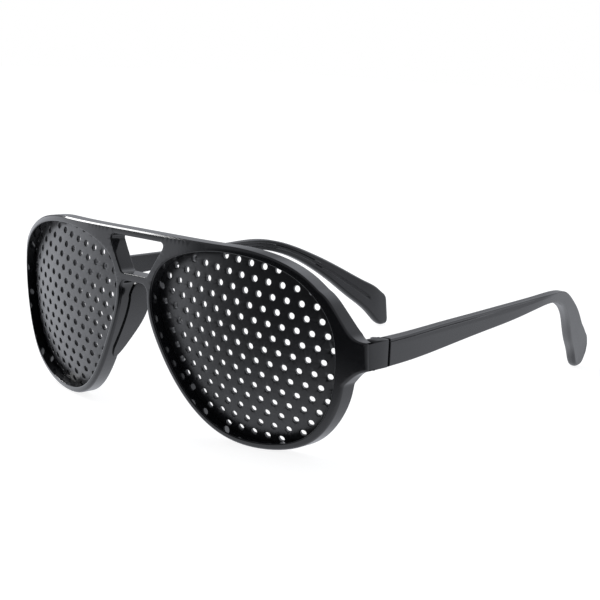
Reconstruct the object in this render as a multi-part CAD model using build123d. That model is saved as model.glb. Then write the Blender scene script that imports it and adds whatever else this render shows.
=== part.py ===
# Pinhole glasses: a rimmed front that holds two drilled plates, and two temples on
# screwed leaf hinges.  Millimetres.  X runs to the wearer's left, Y to the back and
# Z up.  The glasses stand open on a table, on the bottoms of the rims and the ears.
# While it is built, the foremost point of the front is at Y = 0.  The finished part
# has its origin below the middle of its bounding box, on the table.
from build123d import *
from math import asin, cos, pi, radians, sin, sqrt
import os

# The front is bent on one large curve: a cylinder across the nose that runs into a
# sphere on each side and then, this far in from the side, turns back tightly to the
# temple.  Its back faces and the plates are the same curve, moved straight back.
front_radius = 111.9
flat_half_width = 16.6
turn_radius = 30.0
turn_width = 13.3
curve_height = 38.5
front_depth = 5.4
# The front's flat back beside the end pieces lies this far behind their lower corners.
web_thickness = 0.9

# Lens openings, seen from the front, and the gap between them over the nose.  The
# shares are of the half width and height.
lens_gap = 13.8
lens_half_width = 29.15
lens_half_height = 26.0
rim_width = 1.9
lens_outline_shares = [
    (-0.10, 1.00), (0.33, 0.955), (0.71, 0.775), (0.95, 0.43), (1.00, -0.05),
    (0.935, -0.45), (0.71, -0.82), (0.28, -0.993), (-0.20, -0.93), (-0.59, -0.57),
    (-0.857, -0.08), (-0.985, 0.42), (-0.90, 0.70), (-0.59, 0.91),
]
outline_steps = 60
lip_chamfer = 0.4

# Brow bar and bridge
bar_height = 2.0
nose_arch_height = 41.0
bridge_height = 2.3
arch_corner_radius = 2.4
# The slot between the bar and the bridge narrows downward.
slot_top_width = 23.7
slot_bottom_width = 10.6
slot_corner_radius = 1.2

# Drilled plates, held in a groove inside each rim
plate_recess = 3.6
plate_thickness = 1.2
groove_depth = 0.9
groove_clearance = 0.05
hole_diameter = 1.8
hole_pitch = 4.19
hole_edge_margin = 0.25
# The pattern is laid out flat about one point of the plate, given by the two angles
# of the curve there, and its rows fall towards the wearer's left on both plates.
pattern_turn_deg = 0.94
pattern_lean_deg = 11.97
row_slope_deg = {"left": 8.73, "right": 8.74}
row_shift_shares = {"left": (4.405, 7.688), "right": (-2.915, 8.005)}
row_count = 20

# Nose pads: thin lozenges on the nose side of each rim.  Their side view is given in
# shares of the pad's depth and height, from its front foot.
pad_front_y = 3.9
pad_depth = 7.6
pad_foot_height = 15.5
pad_height = 24.5
pad_stand_out = 0.5
pad_back_thickness = 1.9
pad_outline_shares = [
    (0.00, 0.16), (0.00, 0.80), (0.16, 0.95), (0.46, 1.00), (0.80, 0.93),
    (0.985, 0.76), (0.93, 0.52), (0.62, 0.24), (0.24, 0.03),
]

# End pieces, which turn the corner to the hinges
end_width = 6.1
end_thickness = 4.0
end_bottom = 26.0
end_top = 33.8
end_edge_chamfer = 0.6
seam_y = 27.5
seam_gap = 0.1
# The brow runs out into the end piece, and the rim flares up to it from below.
# Shares of the flare's width, inward from the side, and of its height.
brow_flare_width = 13.4
brow_flare_height = 15.6
brow_flare_shares = [(0.0, 0.0), (0.16, 0.05), (0.31, 0.25), (0.47, 0.51), (0.71, 0.80), (0.97, 0.915)]
chin_flare_width = 5.4
chin_flare_height = 4.6
chin_flare_shares = [(0.0, 0.0), (0.34, 0.16), (0.64, 0.54), (1.0, 1.0)]

# Temples.  Each row of stations is one upright section: its place along the temple,
# the heights of its top and bottom edges, how far those edges lie inward of the side,
# and its thickness.  All are shares of the sizes named here.
temple_length = 147.1
temple_height = 36.0
temple_inset = 26.0
temple_thickness = 3.4
temple_station_shares = [
    (0.000, 0.9375, 0.725, 0.000, 0.000, 1.00),
    (0.060, 0.940, 0.733, 0.008, 0.008, 1.00),
    (0.175, 0.953, 0.764, 0.038, 0.038, 1.00),
    (0.305, 0.965, 0.806, 0.077, 0.077, 0.97),
    (0.441, 0.979, 0.847, 0.115, 0.119, 0.95),
    (0.536, 0.989, 0.886, 0.142, 0.158, 0.95),
    (0.604, 0.997, 0.900, 0.165, 0.208, 0.97),
    (0.658, 0.983, 0.867, 0.215, 0.292, 1.00),
    (0.712, 0.928, 0.794, 0.312, 0.388, 1.03),
    (0.767, 0.840, 0.669, 0.423, 0.504, 1.07),
    (0.821, 0.736, 0.508, 0.535, 0.642, 1.10),
    (0.876, 0.614, 0.322, 0.662, 0.777, 1.10),
    (0.930, 0.493, 0.139, 0.796, 0.896, 1.06),
    (0.964, 0.417, 0.010, 0.869, 0.957, 1.00),
    (0.983, 0.358, 0.005, 0.900, 0.970, 0.92),
    (0.995, 0.300, 0.052, 0.922, 0.966, 0.74),
    (1.000, 0.240, 0.125, 0.935, 0.952, 0.50),
]
temple_edge_chamfer = 0.6
ear_edge_chamfer = 1.1
ear_start_share = 0.60

# Hinges: two leaves with three knuckles on one screw
hinge_axis_inset = 6.3
hinge_axis_setback = 1.6
knuckle_radius = 1.5
knuckle_gap = 0.06
barrel_bottom = 25.2
barrel_top = 32.3
leaf_thickness = 1.0
leaf_recess = 0.3
leaf_bottom = 27.2
leaf_top = 33.0
leaf_length = 6.0
leaf_setback = 0.2
pin_radius = 0.6
pin_clearance = 0.05
screw_head_radius = 1.15
screw_head_height = 0.5
screw_slot_width = 0.3
screw_slot_depth = 0.25
screw_tail = 1.4

overrun = 1.0

# Places worked out from the sizes above
lens_centre_x = lens_gap / 2 + lens_half_width
side_x = lens_centre_x + lens_half_width + end_width
turn_start_x = side_x - turn_width
lens_centre_z = rim_width + lens_half_height
bar_top = lens_centre_z + lens_half_height + rim_width
hinge_x = side_x - hinge_axis_inset
hinge_y = seam_y + hinge_axis_setback
end_inner_x = side_x - end_thickness
temple_start_y = seam_y + seam_gap


def turn_angle():
    """Angle of the front's curve, from straight ahead, where the tight turn starts."""
    return asin((turn_start_x - flat_half_width) / front_radius)


def turn_centre():
    """Centre of the tight turn, out from where the curve starts and before its axis."""
    reach = front_radius - turn_radius
    return reach * sin(turn_angle()), reach * cos(turn_angle())


def front_y(x, z):
    """How far back the front face lies at a place of the front view."""
    out = max(abs(x) - flat_half_width, 0)
    if out <= front_radius * sin(turn_angle()):
        ahead = sqrt(front_radius**2 - out**2)
    else:
        turn_out, turn_ahead = turn_centre()
        ahead = turn_ahead + sqrt(turn_radius**2 - (out - turn_out)**2)
    return front_radius - sqrt(ahead**2 - (z - curve_height)**2)


def front_body(depth):
    """All that lies this far or farther straight behind the front face, up to the curve's axis."""
    centre = (0, front_radius + depth, curve_height)
    plane = Plane(centre, x_dir=(1, 0, 0), z_dir=(0, -1, 0))
    angle = turn_angle()
    turn_out, turn_ahead = turn_centre()
    turn_x = flat_half_width + turn_out
    half = [(flat_half_width, front_radius)]
    for place in (angle / 2, angle):
        half.append((flat_half_width + front_radius * sin(place), front_radius * cos(place)))
    middle = (angle + pi / 2) / 2
    half.append((turn_x + turn_radius * sin(middle), turn_ahead + turn_radius * cos(middle)))
    half.append((turn_x + turn_radius, turn_ahead))
    half.append((turn_x + turn_radius, 0))
    other = [(-x, y) for x, y in half]
    outline = [
        Line(other[0], half[0]), ThreePointArc(half[0], half[1], half[2]),
        ThreePointArc(half[2], half[3], half[4]), Line(half[4], half[5]), Line(half[5], other[5]),
        Line(other[5], other[4]), ThreePointArc(other[4], other[3], other[2]),
        ThreePointArc(other[2], other[1], other[0]),
    ]
    return revolve(plane * make_face(outline), axis=Axis(centre, (1, 0, 0)), revolution_arc=180)


def shell(outer_depth, inner_depth):
    """The bent layer between two depths behind the front face."""
    return front_body(outer_depth) - front_body(inner_depth)


def front_point(x, z):
    """A point of a front view, on a plane just before the front."""
    return Vector(x, -overrun, z)


def front_prism(face, back=seam_y):
    """A front view's face pushed back through the front, as far as the seam or less."""
    return extrude(face, amount=back + overrun, dir=(0, 1, 0))


def front_face(edges):
    """A face of a front view, always turned the same way."""
    face = make_face(edges).faces()[0]
    return face if face.normal_at().Y > 0 else -face


def lens_curve(side, grow=0.0):
    """The lens opening of one side, or a line that follows it at a distance."""
    corners = []
    for across_share, up_share in lens_outline_shares:
        x = side * (lens_centre_x + across_share * lens_half_width)
        corners.append(front_point(x, lens_centre_z + up_share * lens_half_height))
    opening = Spline(*corners, periodic=True)
    if grow == 0:
        return opening
    centre = front_point(side * lens_centre_x, lens_centre_z)
    points = []
    for step in range(outline_steps):
        point = opening @ (step / outline_steps)
        outward = (opening % (step / outline_steps)).cross(Vector(0, 1, 0)).normalized()
        if outward.dot(point - centre) < 0:
            outward = outward * -1
        points.append(point + outward * grow)
    return Spline(*points, periodic=True)


def lens_face(side, grow=0.0):
    return front_face(lens_curve(side, grow))


def polygon(points):
    return front_face(Polyline(*points, close=True))


def flare_face(side, width, height, shares, corner_z, up):
    """The web that carries a rim's outer edge out to the end piece."""
    points = []
    for in_share, up_share in shares:
        points.append(front_point(side * (side_x - in_share * width), corner_z + up * up_share * height))
    inner = front_point(side * (side_x - width), corner_z)
    edge = Spline(*points)
    return front_face([edge, Line(points[-1], inner), Line(inner, points[0])])


def box(x_range, y_range, z_range):
    """A box between two limits on each axis."""
    x_size, y_size, z_size = (high - low for low, high in (x_range, y_range, z_range))
    corner = (min(x_range), min(y_range), min(z_range))
    shape = Box(abs(x_size), abs(y_size), abs(z_size), align=(Align.MIN, Align.MIN, Align.MIN))
    return Pos(*corner) * shape


def end_section(side):
    """Front view of the end piece, with its outer edges broken."""
    return polygon([
        front_point(side * end_inner_x, end_bottom),
        front_point(side * (side_x - end_edge_chamfer), end_bottom),
        front_point(side * side_x, end_bottom + end_edge_chamfer),
        front_point(side * side_x, end_top - end_edge_chamfer),
        front_point(side * (side_x - end_edge_chamfer), end_top),
        front_point(side * end_inner_x, end_top),
    ])


def rim_top():
    """Where the top of a rim is level, so that the brow bar runs on from it smoothly."""
    curve = lens_curve(1, rim_width)
    rising, falling = 0.0, 0.1
    while falling - rising > 1e-9:
        between = (rising + falling) / 2
        if (curve % between).X * (curve % between).Z > 0:
            rising = between
        else:
            falling = between
    return (curve @ rising).X, (curve @ rising).Z


def slot_face():
    """Front view of the slot between the brow bar and the bridge, with rounded corners."""
    top = rim_top()[1] - bar_height
    bottom = nose_arch_height + bridge_height
    slot = polygon([
        front_point(-slot_bottom_width / 2, bottom), front_point(slot_bottom_width / 2, bottom),
        front_point(slot_top_width / 2, top), front_point(-slot_top_width / 2, top),
    ])
    return slot.fillet_2d(slot_corner_radius, slot.vertices())


def front_outline():
    """Front view of the rims, brow bar, bridge and flares as one face."""
    bar_reach, bar_level = rim_top()
    nose_edge = lens_centre_x - lens_half_width
    outline = polygon([
        front_point(-nose_edge, nose_arch_height), front_point(nose_edge, nose_arch_height),
        front_point(bar_reach, bar_level), front_point(-bar_reach, bar_level),
    ])
    for side in (-1, 1):
        outline += lens_face(side, rim_width)
        outline += flare_face(side, brow_flare_width, brow_flare_height, brow_flare_shares, end_top, 1)
        outline += flare_face(side, chin_flare_width, chin_flare_height, chin_flare_shares, end_bottom, -1)
        outline += polygon([
            front_point(side * (side_x - brow_flare_width), end_bottom), front_point(side * side_x, end_bottom),
            front_point(side * side_x, end_top), front_point(side * (side_x - brow_flare_width), end_top),
        ])
    face = outline.faces()[0]
    arch_ends = [v for v in face.vertices()
                 if abs(v.X) < bar_reach and abs(v.Z - nose_arch_height) < arch_corner_radius / 10]
    return (face.fillet_2d(arch_corner_radius, arch_ends) - slot_face()).faces()[0]


def hinge_leaf_box(side, y_range, x_outer):
    """The flat plate of a hinge leaf, sunk a little into the plastic that carries it."""
    inner = x_outer - leaf_thickness
    return box((side * inner, side * x_outer), y_range, (leaf_bottom, leaf_top))


def end_leaf_x():
    return end_inner_x + leaf_recess


def temple_leaf_x():
    return side_x - temple_thickness + leaf_recess


def end_leaf_range():
    end = seam_y - leaf_setback
    return (end - leaf_length, end)


def temple_leaf_range():
    start = temple_start_y + leaf_setback
    return (hinge_y + leaf_setback, start + leaf_length + hinge_axis_setback)


def make_front_frame():
    web_back = front_y(side_x, end_bottom) + web_thickness
    frame = front_prism(front_outline(), web_back) & shell(0, front_depth)
    inside = front_body(0)
    for side in (-1, 1):
        arm = extrude(end_section(side), amount=seam_y + overrun, dir=(0, 1, 0))
        frame += arm & inside
    bottom_depth = plate_recess + plate_thickness + groove_clearance
    groove_layer = shell(plate_recess - groove_clearance, bottom_depth)
    for side in (-1, 1):
        frame -= front_prism(lens_face(side))
        frame -= front_prism(lens_face(side, groove_depth)) & groove_layer
    front_edges = [edge for edge in frame.edges() if on_front_face(edge) and borders_opening(edge)]
    frame = chamfer(front_edges, lip_chamfer)
    for side in (-1, 1):
        frame -= hinge_leaf_box(side, end_leaf_range(), end_leaf_x())
    return frame


def on_front_face(edge):
    """True for an edge of the front face that isn't a seam between its curves."""
    tolerance = lip_chamfer / 100
    points = [edge @ place for place in (0, 0.25, 0.5, 0.75, 1)]
    for seam_x in (flat_half_width, turn_start_x):
        if all(abs(abs(point.X) - seam_x) < tolerance for point in points):
            return False
    return all(abs(point.Y - front_y(point.X, point.Z)) < tolerance for point in points)


def borders_opening(edge):
    """True for the edges round the two lens openings and the opening above the bridge."""
    middle = edge @ 0.5
    side = 1 if middle.X > 0 else -1
    if lens_curve(side).distance_to(Vertex(middle.X, -overrun, middle.Z)) < lip_chamfer / 100:
        return True
    between = nose_arch_height + bridge_height / 2 < middle.Z < bar_top - bar_height / 2
    return between and abs(middle.X) < lens_centre_x / 2


def plate_centre():
    """Centre of the sphere on which the front face of the left plate lies."""
    return Vector(flat_half_width, front_radius + plate_recess, curve_height)


def hole_places(side_name):
    """Centres of one plate's holes on its front face, for the wearer's left side."""
    turn = radians(pattern_turn_deg)
    lean = radians(pattern_lean_deg)
    slope = radians(-row_slope_deg[side_name])
    shift_across, shift_up = row_shift_shares[side_name]
    side = 1 if side_name == "left" else -1
    inward = Vector(-sin(turn), cos(turn) * cos(lean), cos(turn) * sin(lean))
    across_way = Vector(cos(turn), sin(turn) * cos(lean), sin(turn) * sin(lean))
    up_way = Vector(0, -sin(lean), cos(lean))
    middle = plate_centre() - inward * front_radius
    inside = lens_face(1, -hole_edge_margin)
    places = []
    for row in range(-row_count, row_count + 1):
        for step in range(-row_count, row_count + 1):
            along = step - row / 2
            rise = -row * sqrt(0.75)
            across = side * (along * cos(slope) - rise * sin(slope) + shift_across) * hole_pitch
            up = (along * sin(slope) + rise * cos(slope) + shift_up) * hole_pitch
            sag = (across**2 + up**2) / (2 * front_radius)
            place = middle + across_way * across + up_way * up + inward * sag
            if inside.is_inside(front_point(place.X, place.Z)):
                places.append(place)
    return places


def make_plate(side_name):
    layer = shell(plate_recess, plate_recess + plate_thickness)
    plate = front_prism(lens_face(1, groove_depth - groove_clearance)) & layer
    drills = []
    for place in hole_places(side_name):
        inward = (plate_centre() - place).normalized()
        start = Plane(place - inward * overrun, z_dir=inward)
        drills.append(extrude(start * Circle(hole_diameter / 2), amount=front_depth))
    plate = plate.cut(*[drill.solid() for drill in drills])
    return plate if side_name == "left" else mirror(plate, about=Plane.YZ)


def make_nose_pad():
    """The wearer's left pad: a blade along the rim's wall, thicker behind the rim."""
    outer = front_prism(lens_face(1, rim_width + pad_stand_out))
    core = front_prism(lens_face(1, rim_width + pad_stand_out - pad_back_thickness))
    corners = []
    for depth_share, height_share in pad_outline_shares:
        y = pad_front_y + depth_share * pad_depth
        corners.append(Vector(0, y, pad_foot_height + height_share * pad_height))
    side_view = make_face([Spline(*corners[1:], corners[0]), Line(corners[0], corners[1])])
    blade = extrude(side_view, amount=lens_centre_x, dir=(1, 0, 0))
    rim = front_prism(lens_face(1, rim_width)) & shell(0, front_depth)
    bridge_side = box((0, nose_gap_x()), (-overrun, seam_y), (0, bar_top))
    return (outer - core) & blade & bridge_side - rim


def nose_gap_x():
    """The pads lie within this distance of the middle."""
    return lens_centre_x - lens_half_width / 2


def temple_section(station):
    """One upright section of the left temple, with its long edges broken."""
    along_share, top_share, bottom_share, top_in_share, bottom_in_share, thick_share = station
    y = temple_start_y + along_share * temple_length
    top = top_share * temple_height
    bottom = bottom_share * temple_height
    top_x = side_x - top_in_share * temple_inset
    bottom_x = side_x - bottom_in_share * temple_inset
    thickness = thick_share * temple_thickness
    edge = temple_edge_chamfer
    if along_share > ear_start_share:
        growth = min(1, (along_share - ear_start_share) / (1 - ear_start_share) * 2)
        edge += growth * (ear_edge_chamfer - temple_edge_chamfer)
    edge = min(edge, thickness / 3, (top - bottom) / 3)
    slant = (top_x - bottom_x) / (top - bottom)

    def corner(inward, z):
        return Vector(bottom_x + slant * (z - bottom) - inward, y, z)

    return polygon([
        corner(0, bottom + edge), corner(0, top - edge), corner(edge, top), corner(thickness - edge, top),
        corner(thickness, top - edge), corner(thickness, bottom + edge), corner(thickness - edge, bottom),
        corner(edge, bottom),
    ])


def make_temple():
    temple = loft([temple_section(station) for station in temple_station_shares])
    return temple - hinge_leaf_box(1, temple_leaf_range(), temple_leaf_x())


def knuckle_levels():
    """Bottom and top of the three knuckles, from the lowest up."""
    height = (barrel_top - barrel_bottom - 2 * knuckle_gap) / 3
    return [(barrel_bottom + k * (height + knuckle_gap), barrel_bottom + k * (height + knuckle_gap) + height)
            for k in range(3)]


def knuckle(low, high, x_outer, y_range):
    """A knuckle round the screw, with the arm that joins it to its leaf's plate."""
    barrel = Pos(hinge_x, hinge_y, low) * Cylinder(
        knuckle_radius, high - low, align=(Align.CENTER, Align.CENTER, Align.MIN))
    arm = box((hinge_x, x_outer), y_range, (low, high))
    return barrel + arm


def pin_bore():
    length = barrel_top - barrel_bottom + 2 * overrun
    return Pos(hinge_x, hinge_y, barrel_bottom - overrun) * Cylinder(
        pin_radius + pin_clearance, length, align=(Align.CENTER, Align.CENTER, Align.MIN))


def make_front_leaf():
    """Plate on the end piece with the lower and upper knuckles."""
    plate_range = end_leaf_range()
    leaf = hinge_leaf_box(1, plate_range, end_leaf_x())
    neck = (plate_range[1] - leaf_thickness, plate_range[1])
    for low, high in (knuckle_levels()[0], knuckle_levels()[2]):
        leaf += knuckle(low, high, hinge_x + knuckle_radius, (plate_range[1] - leaf_thickness, hinge_y))
        leaf += box((hinge_x, end_inner_x), neck, (low, high))
    return leaf - pin_bore()


def make_temple_leaf():
    """Plate on the temple with the middle knuckle."""
    low, high = knuckle_levels()[1]
    leaf = hinge_leaf_box(1, temple_leaf_range(), temple_leaf_x())
    leaf += knuckle(low, high, temple_leaf_x(), (temple_leaf_range()[0], hinge_y + knuckle_radius))
    return leaf - pin_bore()


def make_screw():
    """Slotted screw: its head rests on the top knuckle and its end stands out below."""
    centred = (Align.CENTER, Align.CENTER, Align.MIN)
    low = barrel_bottom - screw_tail
    shank = Pos(hinge_x, hinge_y, low) * Cylinder(pin_radius, barrel_top - low, align=centred)
    head = Pos(hinge_x, hinge_y, barrel_top) * Cylinder(screw_head_radius, screw_head_height, align=centred)
    slot_floor = barrel_top + screw_head_height - screw_slot_depth
    slot = Pos(hinge_x, hinge_y, slot_floor) * Box(
        2 * screw_head_radius, screw_slot_width, screw_slot_depth, align=centred)
    return shank + head - slot


def main():
    os.makedirs("parts", exist_ok=True)
    pieces = {"front_frame": make_front_frame()}
    for side_name in ("left", "right"):
        pieces["pinhole_plate_" + side_name] = make_plate(side_name)
    paired = {
        "nose_pad": make_nose_pad(),
        "hinge_front_leaf": make_front_leaf(),
        "hinge_temple_leaf": make_temple_leaf(),
        "hinge_screw": make_screw(),
        "temple": make_temple(),
    }
    for name, piece in paired.items():
        pieces[name + "_left"] = piece
        pieces[name + "_right"] = mirror(piece, about=Plane.YZ)
    limits = Compound(children=[Part(piece.wrapped) for piece in pieces.values()]).bounding_box()
    middle_y = (limits.min.Y + limits.max.Y) / 2
    to_origin = Pos(0, -middle_y, -limits.min.Z)
    for name, piece in pieces.items():
        export_step(to_origin * piece, "parts/" + name + ".step")
    print("size", limits.size)
    print("hinge axis at", hinge_x, hinge_y - middle_y, "table shift", -limits.min.Z)
    print("lowest points of front and temple", pieces["front_frame"].bounding_box().min.Z,
          pieces["temple_left"].bounding_box().min.Z)


main()
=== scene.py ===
# %% [markdown]
# # Pinhole glasses
#
# These glasses have no lenses.  Each rim holds an opaque plate drilled with rows of
# small holes, and two temples fold on screwed hinges.  The construction model gives
# every piece its size and place.  Here the moulded plastic gets its rounded edges, the
# holes their soft mouths, the temples their banded upper edge, and everything its finish.
#
# The first cell loads the imported model and gives a way to read the box of any of its pieces.

# %% Load the construction model
import math

import bmesh
import bpy
import numpy as np
from mathutils import Matrix, Vector
from mathutils.geometry import delaunay_2d_cdt


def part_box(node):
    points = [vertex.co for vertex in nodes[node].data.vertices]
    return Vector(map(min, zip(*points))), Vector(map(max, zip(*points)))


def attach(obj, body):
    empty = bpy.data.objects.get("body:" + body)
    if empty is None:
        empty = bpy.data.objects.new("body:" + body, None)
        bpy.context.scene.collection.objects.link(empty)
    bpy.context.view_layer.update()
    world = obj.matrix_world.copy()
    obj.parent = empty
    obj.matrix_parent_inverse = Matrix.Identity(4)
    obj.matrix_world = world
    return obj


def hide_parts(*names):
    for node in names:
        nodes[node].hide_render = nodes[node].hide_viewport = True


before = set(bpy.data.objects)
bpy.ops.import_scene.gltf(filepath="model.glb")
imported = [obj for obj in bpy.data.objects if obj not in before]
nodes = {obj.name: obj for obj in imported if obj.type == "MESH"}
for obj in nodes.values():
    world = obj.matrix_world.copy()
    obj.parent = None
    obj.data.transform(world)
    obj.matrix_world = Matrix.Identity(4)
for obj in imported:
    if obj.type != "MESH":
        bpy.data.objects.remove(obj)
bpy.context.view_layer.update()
MM = 0.001

# %% [markdown]
# The camera stands to the front right of the glasses, a little above them.  Its place
# was found by fitting the rows of pinholes, whose real layout is regular, to where they
# appear in the picture.  A long lens keeps the perspective as mild as it is there.

# %% Camera
CAMERA_PLACE = (289.4, -342.2, 110.6)
CAMERA_AZIMUTH = 41.566
CAMERA_ELEVATION = 10.707
CAMERA_ROLL = 2.520
LENS_MM = 82.43
SENSOR_MM = 36.0
CLIP_START = 0.01


def make_camera():
    """A camera whose right and up axes are turned by the roll about its line of sight."""
    angles = (CAMERA_AZIMUTH, CAMERA_ELEVATION, CAMERA_ROLL)
    azimuth, elevation, roll = (math.radians(angle) for angle in angles)
    back = Vector((math.cos(elevation) * math.sin(azimuth), -math.cos(elevation) * math.cos(azimuth),
                   math.sin(elevation)))
    level_right = Vector((math.cos(azimuth), math.sin(azimuth), 0))
    level_up = back.cross(level_right)
    right = math.cos(roll) * level_right + math.sin(roll) * level_up
    up = back.cross(right)
    camera = bpy.data.objects.new("camera", bpy.data.cameras.new("camera"))
    camera.data.lens = LENS_MM
    camera.data.sensor_width = SENSOR_MM
    camera.data.clip_start = CLIP_START
    turn = Matrix((right, up, back)).transposed().to_4x4()
    camera.matrix_world = Matrix.Translation(Vector(CAMERA_PLACE) * MM) @ turn
    bpy.context.scene.collection.objects.link(camera)
    bpy.context.scene.camera = camera
    return camera


camera = make_camera()
print("camera looks from", [round(v, 3) for v in camera.location])

# %% [markdown]
# All new surfaces here are grids or filled outlines of points.  The helpers below turn
# arrays of points, in millimetres, into a mesh whose object stays at the origin.

# %% Mesh helpers
# In metres, as Blender counts.
SAME_PLACE = 1e-7


def grid_faces(rows, columns):
    """Four-sided faces between neighbouring rows, the last column joined to the first."""
    row = np.arange(rows - 1)[:, None]
    column = np.arange(columns)[None, :]
    after = (column + 1) % columns
    corners = [row * columns + column, row * columns + after,
               (row + 1) * columns + after, (row + 1) * columns + column]
    return np.stack(corners, axis=-1).reshape(-1, 4)


def make_piece(name, points, faces, smooth=True):
    """A mesh from points in millimetres, its doubled points merged and its faces turned outwards."""
    mesh = bpy.data.meshes.new(name)
    vertices = (np.asarray(points).reshape(-1, 3) * MM).tolist()
    mesh.from_pydata(vertices, [], [list(face) for face in faces])
    work = bmesh.new()
    work.from_mesh(mesh)
    bmesh.ops.remove_doubles(work, verts=work.verts, dist=SAME_PLACE)
    bmesh.ops.recalc_face_normals(work, faces=work.faces)
    work.to_mesh(mesh)
    work.free()
    mesh.polygons.foreach_set("use_smooth", np.full(len(mesh.polygons), smooth))
    piece = bpy.data.objects.new(name, mesh)
    bpy.context.scene.collection.objects.link(piece)
    return piece


def even_normals(piece):
    """Let the large faces decide the shading, so that flats stay flat beside rounded edges."""
    piece.modifiers.new("even normals", "WEIGHTED_NORMAL").keep_sharp = True
    return piece


def smoothstep(low, high, value):
    """0 at low and before it, 1 at high and beyond, and 3t^2 - 2t^3 between; low may be the larger."""
    t = np.clip((value - low) / (high - low), 0, 1)
    return t * t * (3 - 2 * t)


# %% [markdown]
# ## The bent front
#
# The real front is one moulding, bent on a large curve: nearly a cylinder across the
# nose, a part of a ball over each eye, and a tight turn at each temple.  Every point of
# it is given by its place in the front view and by how deep it lies behind that curve.
# So the whole moulding can be drawn flat and then laid on the curve by one function.

# %% The front's curve
FRONT_RADIUS = 111.9
FLAT_HALF_WIDTH = 16.6
TURN_RADIUS = 30.0
TURN_WIDTH = 13.3
CURVE_HEIGHT = 38.5
FRONT_DEPTH = 5.4
FRONT_TOP = 55.8075
WEB_THICKNESS = 0.9
LIP = 0.4
END_THICKNESS = 4.0
END_BOTTOM = 26.0
END_TOP = 33.8
SEAM_Y = 27.5

front_low, front_high = (np.array(corner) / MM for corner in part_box("front_frame"))
side_x = front_high[0]
front_y = front_low[1]
seam_y = front_y + SEAM_Y
table_shift = front_high[2] - FRONT_TOP
curve_y = front_y + FRONT_RADIUS
curve_z = CURVE_HEIGHT + table_shift
turn_reach = FRONT_RADIUS - TURN_RADIUS
turn_angle = math.asin((side_x - TURN_WIDTH - FLAT_HALF_WIDTH) / FRONT_RADIUS)


def front_surface(x, z, depth):
    """Y of the surface at a depth straight behind the front face.

    Outside the flat middle the plan is an arc about the middle's edge and then a tighter
    arc.  Turned about a level axis, it gives the distance ahead of that axis, and Y
    follows from Pythagoras.
    """
    out = np.maximum(np.abs(x) - FLAT_HALF_WIDTH, 0)
    wide_ahead = np.sqrt(np.maximum(FRONT_RADIUS**2 - out**2, 0))
    past = out - turn_reach * math.sin(turn_angle)
    tight_ahead = turn_reach * math.cos(turn_angle) + np.sqrt(np.maximum(TURN_RADIUS**2 - past**2, 0))
    ahead = np.where(out > FRONT_RADIUS * math.sin(turn_angle), tight_ahead, wide_ahead)
    return curve_y - np.sqrt(np.maximum(ahead**2 - (z - curve_z)**2, 0)) + depth


def local_depth(flat):
    """Depth of the front at a place of the front view.

    It is less beside the end pieces, where the back is flat.
    """
    return np.minimum(FRONT_DEPTH, web_back - front_surface(flat[..., 0], flat[..., 1], 0))


def on_curve(flat, depth):
    """Points of the front view, laid on the curve at a depth."""
    depth = np.broadcast_to(depth, flat.shape[:-1])
    x, z = flat[..., 0], flat[..., 1]
    return np.stack([x, front_surface(x, z, depth), z], axis=-1)


web_back = front_surface(side_x, END_BOTTOM + table_shift, 0) + WEB_THICKNESS
print("the front turns by", round(math.degrees(turn_angle), 1), "degrees before the tight turn")

# %% [markdown]
# The outlines come from the construction model itself: the open edges of its front face
# are the outer contour, the two lens openings and the opening above the bridge.  They are
# spaced evenly and softened a little, as a mould's corners are.

# %% Outlines of the front
OUTLINE_STEP = 0.4
CORNER_SOFTENING = 0.35
ON_FACE = 0.02
POINT_DIGITS = 4
FEWEST_POINTS = 8


def face_edges(node_name, depth):
    """A node's face at a depth as pairs of points, one pair for each open edge."""
    mesh = nodes[node_name].data
    points = np.zeros(len(mesh.vertices) * 3, np.float32)
    mesh.vertices.foreach_get("co", points)
    points = points.reshape(-1, 3).astype(float) / MM
    corners = np.zeros(len(mesh.loops), np.int32)
    mesh.loops.foreach_get("vertex_index", corners)
    _, first, same = np.unique(np.round(points, POINT_DIGITS), axis=0, return_index=True,
                               return_inverse=True)
    triangles = same.reshape(-1)[corners].reshape(-1, 3)
    points = points[first]
    off_face = np.abs(front_surface(points[:, 0], points[:, 2], depth) - points[:, 1])
    triangles = triangles[(off_face[triangles] < ON_FACE).all(axis=1)]
    triangles = triangles[(triangles != np.roll(triangles, 1, axis=1)).all(axis=1)]
    pairs = np.concatenate([triangles[:, [0, 1]], triangles[:, [1, 2]], triangles[:, [2, 0]]])
    _, which, count = np.unique(np.sort(pairs, axis=1), axis=0, return_inverse=True,
                                return_counts=True)
    return points[:, [0, 2]], pairs[count[which.reshape(-1)] == 1]


def chain(points, pairs):
    """The open edges joined end to end into closed loops, the longest first."""
    following = dict(pairs.tolist())
    loops = []
    while following:
        start, here = following.popitem()
        loop = [start]
        while here != start and here in following:
            loop.append(here)
            here = following.pop(here)
        loops.append(points[loop])
    long_loops = [loop for loop in loops if len(loop) > FEWEST_POINTS]
    return sorted(long_loops, key=loop_length, reverse=True)


def loop_length(loop):
    """The way round a loop of points."""
    return np.linalg.norm(np.roll(loop, -1, axis=0) - loop, axis=1).sum()


def even_loop(loop, step, softening):
    """The loop at even steps, with a Gaussian of the given length drawn through its corners."""
    closed = np.concatenate([loop, loop[:1]])
    along = np.concatenate([[0], np.cumsum(np.linalg.norm(np.diff(closed, axis=0), axis=1))])
    count = int(along[-1] / step)
    places = np.arange(count) * along[-1] / count
    even = np.stack([np.interp(places, along, closed[:, k]) for k in range(2)], axis=1)
    turns = np.fft.fftfreq(count, along[-1] / count)[:, None]
    kept = np.exp(-2 * (math.pi * turns * softening)**2)
    return np.fft.ifft(np.fft.fft(even, axis=0) * kept, axis=0).real


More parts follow.
